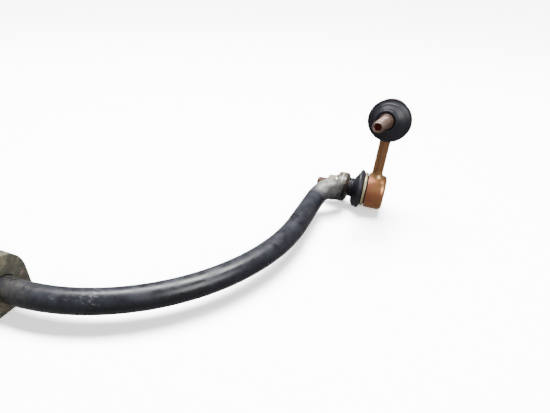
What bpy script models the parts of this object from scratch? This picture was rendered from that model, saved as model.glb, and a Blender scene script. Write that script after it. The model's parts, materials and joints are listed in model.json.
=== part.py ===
"""Front sway bar with split D-bushings and a 90 degree ball-jointed link at each end.

The bar lies along X with both arms reaching towards +Y, and +Z is up. The origin is
on the ground plane, midway between the two ends and between front and back. Units are metres.
"""

from math import asin, atan2, cos, pi, radians, sin

import bmesh
import bpy
from mathutils import Euler, Matrix, Vector

# Sway bar
BAR_RADIUS = 0.009
AXIS_HEIGHT = 0.0196
STRAIGHT_Y = -0.1163
STRAIGHT_HALF = 0.310
BEND_RADIUS = 0.155
BEND_ANGLE = radians(88.0)
JOGGLE_START = 0.197
JOGGLE_ANGLE = radians(65.0)
JOGGLE_RADIUS = 0.0165
JOGGLE_RISE = 0.005
EYE_BEND_RADIUS = 0.009
EYE_Y = 0.233
EYE_RADIUS = 0.0135
EYE_THROAT_HALF = 0.0100
EYE_HALF_THICKNESS = 0.0052
BOLT_HOLE_RADIUS = 0.0053
BAR_SIDES = 16

# Clearance left between pieces that touch
GAP = 0.0003

# Split rubber bushing
BUSHING_LENGTH = 0.042
BUSHING_INSET = 0.005
BUSHING_HALF_WIDTH = 0.0195
BUSHING_ARCH_CENTRE = 0.0045
BUSHING_SLIT = 0.0008
BUSHING_BORE_RADIUS = 0.00935

# Ball joint, measured along the stud from the centre of the ball
BALL_RADIUS = 0.008
STUD_NECK_RADIUS = 0.0045
STUD_SHOULDER_RADIUS = 0.006
COLLAR_RADIUS = 0.0066
COLLAR_BACK = 0.0227
COLLAR_FACE = 0.0245
THREAD_RADIUS = 0.005
STUD_END = 0.056
SOCKET_RADIUS = 0.0029
SOCKET_DEPTH = 0.006
HOUSING_RADIUS = 0.017
HOUSING_BACK = -0.0105
HOUSING_FRONT = 0.0065
HOUSING_NECK_RADIUS = 0.0136
HOUSING_NECK_END = 0.0095
HOUSING_BORE = 0.0123
CAP_SEAT = -0.0085
CAP_RADIUS = 0.0135
BOOT_RIM_RADIUS = 0.0190
BOOT_NECK_RADIUS = 0.0090
BOOT_NECK_START = 0.0194
BOOT_RING_RADIUS = 0.0169
NECK_RING_RADIUS = 0.0102

# Flange nut on the lower stud
NUT_FLANGE_RADIUS = 0.0106
NUT_HEX_RADIUS = 0.0090
NUT_FLANGE_THICKNESS = 0.0022
NUT_LENGTH = 0.0098

# Link
LINK_LENGTH = 0.073
ROD_RADIUS = 0.0049
ROD_FOOT_RADIUS = 0.0066
LINK_SWING = radians(-5.0)
LINK_YAW = radians(5.0)
LINK_LEAN = radians(4.0)
UPPER_STUD_YAW = radians(-10.0)
UPPER_STUD_PITCH = radians(-3.5)

# Ball centre of a lower joint and middle of an eye, from the middle of the bar
BALL_X = 0.5154
EYE_TO_BALL = COLLAR_FACE + GAP + EYE_HALF_THICKNESS
EYE_X = BALL_X - EYE_TO_BALL


def clear_scene():
    for obj in list(bpy.data.objects):
        bpy.data.objects.remove(obj, do_unlink=True)


def make_material(name, colour, roughness, metallic):
    material = bpy.data.materials.new(name)
    material.use_nodes = True
    shader = material.node_tree.nodes["Principled BSDF"]
    shader.inputs["Base Color"].default_value = (*colour, 1.0)
    shader.inputs["Roughness"].default_value = roughness
    shader.inputs["Metallic"].default_value = metallic
    material.diffuse_color = (*colour, 1.0)
    return material


def add_object(name, bm, material, parent=None, matrix=None):
    """Turn a bmesh into a named object, smooth where its faces are round."""
    bm.normal_update()
    bmesh.ops.recalc_face_normals(bm, faces=bm.faces)
    mesh = bpy.data.meshes.new(name)
    bm.to_mesh(mesh)
    bm.free()
    mesh.shade_smooth()
    mesh.set_sharp_from_angle(angle=radians(35.0))
    mesh.materials.append(material)
    obj = bpy.data.objects.new(name, mesh)
    bpy.context.scene.collection.objects.link(obj)
    obj.parent = parent
    obj.matrix_basis = matrix or Matrix.Identity(4)
    return obj


def add_cutter(name, bm, target):
    """Subtract a hidden helper solid from a part."""
    cutter = add_object(name, bm, target.data.materials[0], target.parent, target.matrix_basis)
    cutter.hide_render = True
    cutter.display_type = "WIRE"
    cut = target.modifiers.new(name, "BOOLEAN")
    cut.operation = "DIFFERENCE"
    cut.solver = "EXACT"
    cut.object = cutter
    return cutter


def add_empty(name, matrix, parent=None):
    empty = bpy.data.objects.new(name, None)
    bpy.context.scene.collection.objects.link(empty)
    empty.empty_display_size = 0.02
    empty.parent = parent
    empty.matrix_basis = matrix
    return empty


def turned(profile, steps, closed):
    """Spin a profile of (radius, height) points round Z; closed joins its last point to its first."""
    bm = bmesh.new()
    points = [bm.verts.new((radius, 0.0, height)) for radius, height in profile]
    edges = [bm.edges.new(pair) for pair in zip(points, points[1:])]
    if closed:
        edges.append(bm.edges.new((points[-1], points[0])))
    bmesh.ops.spin(
        bm, geom=points + edges, cent=(0, 0, 0), axis=(0, 0, 1), angle=2 * pi, steps=steps,
        use_merge=True,
    )
    bmesh.ops.remove_doubles(bm, verts=bm.verts, dist=1e-6)
    return bm


def arc(centre, radius, start, end, count):
    """Points (radius, height) on an arc whose angle is measured from the outward radius."""
    turn = (end - start) / (count - 1)
    return [
        (centre[0] + radius * cos(start + turn * i), centre[1] + radius * sin(start + turn * i))
        for i in range(count)
    ]


def prism(sides, radius, low, high):
    bm = bmesh.new()
    bmesh.ops.create_cone(
        bm, cap_ends=True, segments=sides, radius1=radius, radius2=radius, depth=high - low
    )
    bmesh.ops.translate(bm, verts=bm.verts, vec=(0, 0, (low + high) / 2))
    return bm


# Sway bar ------------------------------------------------------------------------------


def arm_line():
    """Stations (x, y, rise, heading, flattening) from the middle of the bar to one eye's throat."""
    stations = [(0.0, 0.0, 0.0, 0.0, 0.0)]
    bend_steps = 15
    for i in range(bend_steps + 1):
        angle = BEND_ANGLE * i / bend_steps
        x = STRAIGHT_HALF + BEND_RADIUS * sin(angle)
        stations.append((x, BEND_RADIUS * (1 - cos(angle)), 0.0, angle, 0.0))
    x, y, _, heading, _ = stations[-1]
    x += (JOGGLE_START - y) / sin(heading) * cos(heading)
    y = JOGGLE_START
    stations.append((x, y, 0.0, heading, 0.0))

    # The joggle turns outwards and rises, runs straight, then turns back down into the eye's plane.
    low = pi / 2 - JOGGLE_ANGLE
    turn_shift = JOGGLE_RADIUS * (sin(heading) - sin(low)) + EYE_BEND_RADIUS * (1 - sin(low))
    run = (EYE_X - x - turn_shift) / cos(low)
    flat_turn = 0.3
    flat_run = 0.6
    steps = 5
    for i in range(1, steps + 1):
        share = i / steps
        angle = heading + (low - heading) * share
        stations.append(
            (x + JOGGLE_RADIUS * (sin(heading) - sin(angle)),
             y + JOGGLE_RADIUS * (cos(angle) - cos(heading)),
             JOGGLE_RISE * eased(share), angle, flat_turn * share)
        )
    x = stations[-1][0] + run * cos(low)
    y = stations[-1][1] + run * sin(low)
    stations.append((x, y, JOGGLE_RISE, low, flat_run))
    for i in range(1, steps + 1):
        share = i / steps
        angle = low + (pi / 2 - low) * share
        stations.append(
            (x + EYE_BEND_RADIUS * (sin(angle) - sin(low)),
             y + EYE_BEND_RADIUS * (cos(low) - cos(angle)),
             JOGGLE_RISE * (1 - eased(share)), angle, flat_run + (1 - flat_run) * share)
        )
    return stations


def eased(share):
    """Smooth step from 0 to 1."""
    return share * share * (3 - 2 * share)


def section(x, y, rise, heading, half_width, half_height, squareness, side):
    """One ring of the bar across its centre line, on the right (1) or left (-1) half."""
    points = []
    for i in range(BAR_SIDES):
        turn = 2 * pi * (i + 0.5) / BAR_SIDES
        across = abs(cos(turn)) ** (2 / squareness) * half_width
        across = across if cos(turn) > 0 else -across
        up = abs(sin(turn)) ** (2 / squareness) * half_height
        up = up if sin(turn) > 0 else -up
        points.append(
            (side * (x - sin(heading) * across), y + cos(heading) * across + STRAIGHT_Y,
             up + rise + AXIS_HEIGHT)
        )
    return points


def half_sections(side):
    """Rings from the middle of the bar to the tip of one eye."""
    rings = []
    eye_squareness = 6
    for x, y, rise, heading, flat in arm_line():
        ease = eased(flat)
        width = BAR_RADIUS + (EYE_HALF_THICKNESS - BAR_RADIUS) * ease
        height = BAR_RADIUS + (EYE_THROAT_HALF - BAR_RADIUS) * ease
        squareness = 2 + (eye_squareness - 2) * ease
        rings.append(section(x, y, rise, heading, width, height, squareness, side))
    rim_steps = 7
    first = radians(-35.0)
    last = radians(84.0)
    for i in range(rim_steps + 1):
        angle = first + (last - first) * i / rim_steps
        rings.append(
            section(EYE_X, EYE_Y + EYE_RADIUS * sin(angle), 0.0, pi / 2, EYE_HALF_THICKNESS,
                    EYE_RADIUS * cos(angle), eye_squareness, side)
        )
    return rings


def make_bar(material):
    bm = bmesh.new()
    rings = half_sections(-1)[:0:-1] + half_sections(1)
    loops = [[bm.verts.new(point) for point in ring] for ring in rings]
    for ring, following in zip(loops, loops[1:]):
        for i in range(BAR_SIDES):
            j = (i + 1) % BAR_SIDES
            bm.faces.new((ring[i], ring[j], following[j], following[i]))
    bm.faces.new(loops[0][::-1])
    bm.faces.new(loops[-1])
    bar = add_object("sway_bar", bm, material)
    for side, label in ((1, "right"), (-1, "left")):
        hole = prism(24, BOLT_HOLE_RADIUS, -0.02, 0.02)
        hole.transform(
            Matrix.Translation((side * EYE_X, EYE_Y + STRAIGHT_Y, AXIS_HEIGHT))
            @ Matrix.Rotation(pi / 2, 4, "Y")
        )
        add_cutter(label + "_eye_hole_cutter", hole, bar)
    return bar


# Bushing -------------------------------------------------------------------------------


def make_bushing(name, material, middle_x):
    """A D-shaped rubber block, slit from its bore to one side so that it opens over the bar."""
    arch_steps = 15
    bore_steps = 24
    lip = BUSHING_SLIT / 2
    foot = 0.0025
    outline = [(-BUSHING_HALF_WIDTH, lip)]
    for i in range(arch_steps + 1):
        angle = pi - pi * i / arch_steps
        outline.append(
            (BUSHING_HALF_WIDTH * cos(angle),
             BUSHING_ARCH_CENTRE + BUSHING_HALF_WIDTH * sin(angle))
        )
    outline.append((BUSHING_HALF_WIDTH, foot - AXIS_HEIGHT))
    outline.append((BUSHING_HALF_WIDTH - foot, -AXIS_HEIGHT))
    outline.append((foot - BUSHING_HALF_WIDTH, -AXIS_HEIGHT))
    outline.append((-BUSHING_HALF_WIDTH, foot - AXIS_HEIGHT))
    outline.append((-BUSHING_HALF_WIDTH, -lip))
    slit_angle = asin(lip / BUSHING_BORE_RADIUS)
    for i in range(bore_steps + 1):
        angle = pi + slit_angle + (2 * pi - 2 * slit_angle) * i / bore_steps
        outline.append((BUSHING_BORE_RADIUS * cos(angle), BUSHING_BORE_RADIUS * sin(angle)))
    bm = bmesh.new()
    end = bm.faces.new([bm.verts.new((-BUSHING_LENGTH / 2, y, z)) for y, z in outline])
    grown = bmesh.ops.extrude_face_region(bm, geom=[end], use_keep_orig=True)
    moved = [item for item in grown["geom"] if isinstance(item, bmesh.types.BMVert)]
    bmesh.ops.translate(bm, verts=moved, vec=(BUSHING_LENGTH, 0, 0))
    place = Matrix.Translation((middle_x, STRAIGHT_Y, AXIS_HEIGHT))
    return add_object(name, bm, material, matrix=place)


# Ball joint ----------------------------------------------------------------------------


def stud_mesh():
    neck_angle = pi / 2 - asin(STUD_NECK_RADIUS / BALL_RADIUS)
    profile = [(0.0, -BALL_RADIUS)]
    profile += arc((0, 0), BALL_RADIUS, radians(-70), neck_angle, 8)
    profile += [
        (STUD_NECK_RADIUS, 0.0120),
        (STUD_SHOULDER_RADIUS, 0.0180),
        (STUD_SHOULDER_RADIUS, COLLAR_BACK),
        (COLLAR_RADIUS, COLLAR_BACK),
        (COLLAR_RADIUS, COLLAR_FACE),
        (THREAD_RADIUS, COLLAR_FACE),
        (THREAD_RADIUS, STUD_END - 0.0015),
        (THREAD_RADIUS - 0.0013, STUD_END),
        (0.0, STUD_END),
    ]
    return turned(profile, 20, closed=False)


def add_stud(name, material, parent, matrix):
    stud = add_object(name, stud_mesh(), material, parent, matrix)
    socket = prism(6, SOCKET_RADIUS, STUD_END - SOCKET_DEPTH, STUD_END + 0.002)
    add_cutter(name + "_socket_cutter", socket, stud)
    return stud


def housing_mesh():
    lip = 0.0102
    profile = [
        (HOUSING_NECK_RADIUS, HOUSING_NECK_END),
        (HOUSING_NECK_RADIUS, HOUSING_FRONT),
        (HOUSING_RADIUS, HOUSING_FRONT),
        (HOUSING_RADIUS, HOUSING_BACK + 0.0025),
        (HOUSING_RADIUS - 0.0008, HOUSING_BACK + 0.0008),
        (HOUSING_RADIUS - 0.0024, HOUSING_BACK),
        (CAP_RADIUS + GAP, HOUSING_BACK),
        (CAP_RADIUS + GAP, CAP_SEAT),
        (HOUSING_BORE, CAP_SEAT),
        (HOUSING_BORE, 0.0047),
        (lip, 0.0050),
        (lip, HOUSING_NECK_END),
    ]
    return turned(profile, 24, closed=True)


def seat_mesh():
    """Plastic cup that wraps the ball past its widest point."""
    ball = BALL_RADIUS + GAP
    outer = HOUSING_BORE - GAP
    floor = CAP_SEAT + GAP
    profile = [(outer, floor), (0.0031, floor)]
    profile += arc((0, 0), ball, radians(-68), radians(30), 7)
    profile += [(outer, ball * sin(radians(30)))]
    return turned(profile, 18, closed=True)


def cap_mesh():
    dish = 0.0006
    profile = [
        (0.0, CAP_SEAT - GAP),
        (CAP_RADIUS, CAP_SEAT - GAP),
        (CAP_RADIUS, HOUSING_BACK + 0.0003),
        (CAP_RADIUS - 0.004, HOUSING_BACK + 0.0003),
        (CAP_RADIUS - 0.006, HOUSING_BACK + 0.0003 + dish),
        (0.0, HOUSING_BACK + 0.0003 + dish),
    ]
    return turned(profile, 24, closed=False)


def boot_mesh(lean):
    """Rubber bellows between housing and collar; lean turns its neck from the housing's axis."""
    cuff = HOUSING_NECK_RADIUS + GAP
    wall = 0.0013
    neck_inside = COLLAR_RADIUS + GAP
    neck_end = COLLAR_FACE - GAP
    profile = [
        (cuff + wall, HOUSING_FRONT + GAP),
        (cuff + wall, HOUSING_NECK_END + 0.0007),
        (0.0182, 0.0112),
        (BOOT_RIM_RADIUS, 0.0132),
        (BOOT_RIM_RADIUS - 0.0003, 0.0146),
        (0.0160, 0.0160),
        (0.0118, 0.0178),
        (BOOT_NECK_RADIUS, BOOT_NECK_START),
        (BOOT_NECK_RADIUS, neck_end),
        (neck_inside, neck_end),
        (neck_inside, BOOT_NECK_START - 0.0002),
        (0.0104, 0.0166),
        (0.0150, 0.0146),
        (BOOT_RIM_RADIUS - 0.0018, 0.0137),
        (0.0172, 0.0124),
        (cuff, HOUSING_NECK_END + 0.0014),
        (cuff, HOUSING_FRONT + GAP),
    ]
    bm = turned(profile, 20, closed=True)
    start = HOUSING_NECK_END + 0.001
    for vert in bm.verts:
        amount = (vert.co.z - start) / (BOOT_NECK_START - 0.0003 - start)
        amount = max(0.0, min(1.0, amount))
        vert.co.rotate(Euler((lean[0] * amount, lean[1] * amount, 0.0)))
    return bm


def boot_ring_mesh():
    inner = HOUSING_NECK_RADIUS + GAP + 0.0013 + GAP
    low = HOUSING_FRONT + GAP
    profile = [
        (inner, low),
        (BOOT_RING_RADIUS, low),
        (BOOT_RING_RADIUS, low + 0.0024),
        (BOOT_RING_RADIUS - 0.0005, low + 0.0030),
        (inner, low + 0.0030),
    ]
    return turned(profile, 24, closed=True)


def neck_ring_mesh():
    inner = BOOT_NECK_RADIUS + GAP
    middle = (BOOT_NECK_START + COLLAR_BACK) / 2
    half = 0.0008
    profile = [
        (inner, middle - half),
        (NECK_RING_RADIUS, middle - half),
        (NECK_RING_RADIUS, middle + half),
        (inner, middle + half),
    ]
    return turned(profile, 20, closed=True)


def nut_mesh():
    """Hexagon on a round flange; the corners of the hexagon lie at NUT_HEX_RADIUS."""
    low = COLLAR_FACE + GAP + 2 * EYE_HALF_THICKNESS + GAP
    bore = THREAD_RADIUS + GAP
    hex_low = low + NUT_FLANGE_THICKNESS
    profile = [
        (bore, low),
        (NUT_FLANGE_RADIUS, low),
        (NUT_FLANGE_RADIUS, low + NUT_FLANGE_THICKNESS / 2),
        (NUT_HEX_RADIUS, hex_low),
        (NUT_HEX_RADIUS, low + NUT_LENGTH),
        (bore, low + NUT_LENGTH),
    ]
    bm = turned(profile, 24, closed=True)
    for vert in bm.verts:
        if abs(vert.co.xy.length - NUT_HEX_RADIUS) < 1e-5:
            turn = atan2(vert.co.y, vert.co.x) % (pi / 3)
            shrink = cos(pi / 6) / cos(turn - pi / 6)
            vert.co.x *= shrink
            vert.co.y *= shrink
    return bm


def along(direction):
    """Rotation that stands a part's own Z axis along a direction."""
    return Vector(direction).to_track_quat("Z", "Y").to_matrix().to_4x4()


def add_joint_pieces(label, finish, carrier, stud_parent, axis_on_carrier, axis_on_stud):
    """All pieces of one ball joint: housing side on the carrier, stud side on the stud parent."""
    hold = along(axis_on_carrier)
    stud_place = along(axis_on_stud)
    add_object(label + "_housing", housing_mesh(), finish["housing"], carrier, hold)
    add_object(label + "_ball_seat", seat_mesh(), finish["seat"], carrier, hold)
    add_object(label + "_end_cap", cap_mesh(), finish["cap"], carrier, hold)
    add_object(label + "_boot_ring", boot_ring_mesh(), finish["ring"], carrier, hold)
    add_stud(label + "_ball_stud", finish["stud"], stud_parent, stud_place)
    add_object(label + "_neck_ring", neck_ring_mesh(), finish["neck_ring"], stud_parent, stud_place)
    bpy.context.view_layer.update()
    housing_frame = (carrier.matrix_world @ hold).to_3x3()
    stud_axis = (stud_parent.matrix_world @ stud_place).to_3x3() @ Vector((0, 0, 1))
    bend = housing_frame.inverted() @ stud_axis
    lean = (-asin(bend.y), asin(bend.x))
    add_object(label + "_boot", boot_mesh(lean), finish["boot"], carrier, hold)


# Link ----------------------------------------------------------------------------------


def add_rod(name, material, link, side):
    """Round rod with upset feet, shaped to sit on the two housings."""
    reach = HOUSING_RADIUS - 0.004
    foot = HOUSING_RADIUS + 0.0028
    profile = [
        (0.0, reach),
        (ROD_FOOT_RADIUS, reach),
        (ROD_FOOT_RADIUS, foot - 0.0016),
        (ROD_RADIUS, foot),
        (ROD_RADIUS, LINK_LENGTH - foot),
        (ROD_FOOT_RADIUS, LINK_LENGTH - foot + 0.0016),
        (ROD_FOOT_RADIUS, LINK_LENGTH - reach),
        (0.0, LINK_LENGTH - reach),
    ]
    rod = add_object(name, turned(profile, 20, closed=False), material, link)
    middle = (HOUSING_BACK + HOUSING_FRONT) / 2
    saddle = HOUSING_RADIUS + GAP
    for tag, height, direction in (
        ("lower", 0.0, Vector((-side, 0, 0))), ("upper", LINK_LENGTH, Vector((0, -1, 0))),
    ):
        cutter = prism(36, saddle, middle - 0.02, middle + 0.02)
        cutter.transform(Matrix.Translation((0, 0, height)) @ along(direction))
        add_cutter(name + "_" + tag + "_saddle_cutter", cutter, rod)


def make_link(label, side, finish):
    """One end link with both of its ball joints and the nut that holds it to the bar."""
    ball_x = side * (EYE_X + EYE_TO_BALL)
    ball = Matrix.Translation((ball_x, EYE_Y + STRAIGHT_Y, AXIS_HEIGHT))
    turn = (
        Matrix.Rotation(LINK_SWING, 4, "X")
        @ Matrix.Rotation(side * LINK_YAW, 4, "Z")
        @ Matrix.Rotation(side * LINK_LEAN, 4, "Y")
    )
    fixed = add_empty(label + "_eye_frame", ball)
    link = add_empty(label + "_link_frame", ball @ turn)
    stud_turn = (
        Matrix.Translation((0, 0, LINK_LENGTH))
        @ Matrix.Rotation(side * UPPER_STUD_YAW, 4, "Z")
        @ Matrix.Rotation(UPPER_STUD_PITCH, 4, "X")
    )
    upper = add_empty(label + "_upper_frame", Matrix.Translation((0, 0, LINK_LENGTH)), link)
    upper_stud = add_empty(label + "_upper_stud_frame", stud_turn, link)
    inboard = (-side, 0, 0)
    add_joint_pieces(label + "_lower", finish, link, fixed, inboard, inboard)
    add_joint_pieces(label + "_upper", finish, upper, upper_stud, (0, -1, 0), (0, -1, 0))
    add_rod(label + "_link_rod", finish["rod"], link, side)
    add_object(label + "_stud_nut", nut_mesh(), finish["nut"], fixed, along(inboard))


def main():
    clear_scene()
    finish = {
        "bar": make_material("bar_paint", (0.035, 0.038, 0.045), 0.45, 0.0),
        "bushing": make_material("bushing_rubber", (0.09, 0.085, 0.07), 0.85, 0.0),
        "housing": make_material("housing_zinc", (0.42, 0.22, 0.12), 0.4, 0.9),
        "rod": make_material("rod_zinc", (0.40, 0.24, 0.13), 0.42, 0.9),
        "cap": make_material("cap_zinc", (0.38, 0.25, 0.14), 0.42, 0.9),
        "seat": make_material("seat_plastic", (0.75, 0.73, 0.66), 0.5, 0.0),
        "stud": make_material("stud_steel", (0.30, 0.20, 0.16), 0.5, 0.9),
        "nut": make_material("nut_zinc", (0.62, 0.58, 0.45), 0.4, 0.9),
        "boot": make_material("boot_rubber", (0.012, 0.012, 0.018), 0.5, 0.0),
        "ring": make_material("boot_ring_zinc", (0.55, 0.50, 0.32), 0.4, 0.9),
        "neck_ring": make_material("neck_ring_steel", (0.05, 0.05, 0.055), 0.45, 0.8),
    }
    make_bar(finish["bar"])
    bushing_x = STRAIGHT_HALF - BUSHING_INSET - BUSHING_LENGTH / 2
    for side, label in ((1, "right"), (-1, "left")):
        make_bushing(label + "_bushing", finish["bushing"], side * bushing_x)
        make_link(label, side, finish)


main()
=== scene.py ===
"""Looks of the sway bar: worn black bar, split rubber bushings and ball-jointed end links.

Every length is in metres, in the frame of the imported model: +X along the bar, +Y towards
the eyes of its arms, +Z up, with the floor at Z = 0. A row of a turned profile holds its
radius, its height along the axis and how far the rounding of its corner reaches.
"""

import json
from math import asin, copysign, cos, pi, radians, sin, tan

import bmesh
import bpy
from mathutils import Matrix, Vector


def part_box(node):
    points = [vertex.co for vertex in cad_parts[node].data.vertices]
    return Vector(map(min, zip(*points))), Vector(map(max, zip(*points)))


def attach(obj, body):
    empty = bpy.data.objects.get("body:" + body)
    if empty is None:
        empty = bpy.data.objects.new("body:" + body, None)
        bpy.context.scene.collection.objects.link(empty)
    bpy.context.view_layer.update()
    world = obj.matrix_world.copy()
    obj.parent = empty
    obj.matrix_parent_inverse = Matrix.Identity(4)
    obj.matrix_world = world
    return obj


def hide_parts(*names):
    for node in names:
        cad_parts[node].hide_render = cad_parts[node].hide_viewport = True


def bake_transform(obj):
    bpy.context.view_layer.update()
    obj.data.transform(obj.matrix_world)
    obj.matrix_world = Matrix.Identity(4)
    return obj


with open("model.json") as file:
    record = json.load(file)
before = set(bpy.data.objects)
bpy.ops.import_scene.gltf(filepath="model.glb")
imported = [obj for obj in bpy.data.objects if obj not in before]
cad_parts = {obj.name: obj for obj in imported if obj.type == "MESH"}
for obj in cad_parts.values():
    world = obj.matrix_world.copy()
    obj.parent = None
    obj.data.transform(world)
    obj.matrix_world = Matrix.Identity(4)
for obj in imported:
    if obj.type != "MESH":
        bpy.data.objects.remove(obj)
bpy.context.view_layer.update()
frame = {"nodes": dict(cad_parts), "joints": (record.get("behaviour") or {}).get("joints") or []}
JOINTS = {joint["name"]: joint for joint in frame["joints"]}
SIDES = {"right": 1, "left": -1}
TINY = 1e-9

# Sway bar
BAR_RADIUS = 0.009
AXIS_Y = JOINTS["right_bushing_turn"]["pos_m"][1]
AXIS_Z = JOINTS["right_bushing_turn"]["pos_m"][2]
STRAIGHT_PAST_BUSHING = 0.005
STRAIGHT_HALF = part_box("right_bushing")[1].x + STRAIGHT_PAST_BUSHING
BEND_RADIUS = 0.155
BEND_ANGLE = radians(88.0)
JOGGLE_START = 0.197
JOGGLE_ANGLE = radians(65.0)
JOGGLE_RADIUS = 0.0165
JOGGLE_RISE = 0.005
EYE_BEND_RADIUS = 0.009
EYE_THROAT_HALF = 0.0100
EYE_RADIUS = 0.0135
EYE_HALF_THICKNESS = 0.0052
EYE_TO_BALL = 0.0300
BALL = Vector(JOINTS["right_link_swing"]["pos_m"])
EYE_X = BALL.x - EYE_TO_BALL
EYE_Y = BALL.y - AXIS_Y
BOLT_HOLE_RADIUS = 0.0053

# Ball joint, measured along the stud from the centre of the ball
COLLAR_FACE = 0.0245
STUD_END = 0.056
THREAD_RADIUS = 0.005
THREAD_PITCH = 0.00125
THREAD_DEPTH = 0.0006
SOCKET_CORNER = 0.0031
HOUSING_RADIUS = 0.017
HOUSING_FRONT = 0.0065
HOUSING_BACK = -0.0105
HEX_CORNER = 0.0090
ROUND_SIDES = 96


# Mesh helpers ---------------------------------------------------------------------------


def add_mesh(name, verts, faces, material, matrix=None, angle=40.0):
    """A named mesh object with its faces turned outwards, smooth except at sharp edges."""
    merge_distance = 1e-7
    mesh = bpy.data.meshes.new(name)
    mesh.from_pydata([tuple(v) for v in verts], [], faces)
    bm = bmesh.new()
    bm.from_mesh(mesh)
    bmesh.ops.remove_doubles(bm, verts=bm.verts, dist=merge_distance)
    bm.normal_update()
    bmesh.ops.recalc_face_normals(bm, faces=bm.faces)
    if bm.calc_volume(signed=True) < 0:
        bmesh.ops.reverse_faces(bm, faces=bm.faces)
    bm.to_mesh(mesh)
    bm.free()
    if matrix is not None:
        mesh.transform(matrix)
    mesh.shade_smooth()
    mesh.set_sharp_from_angle(angle=radians(angle))
    mesh.materials.append(material)
    obj = bpy.data.objects.new(name, mesh)
    bpy.context.scene.collection.objects.link(obj)
    return obj


def softened(points, closed, steps=4):
    """Profile points (radius, height, rounding) with each marked corner rounded off."""
    most_of_edge = 0.48  # under half, so that two roundings on one edge never meet
    out = []
    count = len(points)
    for i, (radius, height, rounding) in enumerate(points):
        here = Vector((radius, height))
        if rounding == 0 or (not closed and i in (0, count - 1)):
            out.append(tuple(here))
            continue
        before = Vector(points[i - 1][:2]) - here
        after = Vector(points[(i + 1) % count][:2]) - here
        shorter = min(before.length, after.length)
        reach = min(rounding, shorter * most_of_edge)
        first = here + before.normalized() * reach
        last = here + after.normalized() * reach
        for k in range(steps + 1):
            t = k / steps
            out.append(tuple(first * (1 - t) ** 2 + here * 2 * t * (1 - t) + last * t * t))
    return out


def revolve(profile, steps, closed, shape=None):
    """Turn (radius, height) points round Z. shape(radius, height, turn) may reshape a point."""
    verts = []
    rings = []
    for radius, height in profile:
        if radius < TINY:
            verts.append(Vector((0, 0, height)))
            rings.append([len(verts) - 1] * steps)
            continue
        ring = []
        for i in range(steps):
            turn = 2 * pi * i / steps
            r, z = shape(radius, height, turn) if shape else (radius, height)
            verts.append(Vector((r * cos(turn), r * sin(turn), z)))
            ring.append(len(verts) - 1)
        rings.append(ring)
    pairs = list(zip(rings, rings[1:]))
    if closed:
        pairs.append((rings[-1], rings[0]))
    faces = []
    for a, b in pairs:
        for i in range(steps):
            j = (i + 1) % steps
            face = [a[i], a[j], b[j], b[i]]
            face = [v for k, v in enumerate(face) if v not in face[:k]]
            if len(face) > 2:
                faces.append(face)
    return verts, faces


def tube_faces(rings, sides):
    """Faces between rings of sides points each, with a cap on the first and the last ring."""
    faces = []
    for k in range(rings - 1):
        here, beyond = k * sides, (k + 1) * sides
        for i in range(sides):
            j = (i + 1) % sides
            faces.append((here + i, here + j, beyond + j, beyond + i))
    faces.append(tuple(range(sides))[::-1])
    faces.append(tuple(range((rings - 1) * sides, rings * sides)))
    return faces


def along(direction, origin):
    """Frame at origin whose Z axis lies along direction."""
    turn = Vector(direction).to_track_quat("Z", "Y").to_matrix().to_4x4()
    return Matrix.Translation(origin) @ turn


def hexagon(turn, corner):
    """Radius of a hexagon at an angle, for a given corner radius."""
    return corner * cos(pi / 6) / cos(turn % (pi / 3) - pi / 6)


def eased(share):
    """Smooth step from 0 to 1."""
    return share * share * (3 - 2 * share)


# Material helpers -----------------------------------------------------------------------


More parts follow.
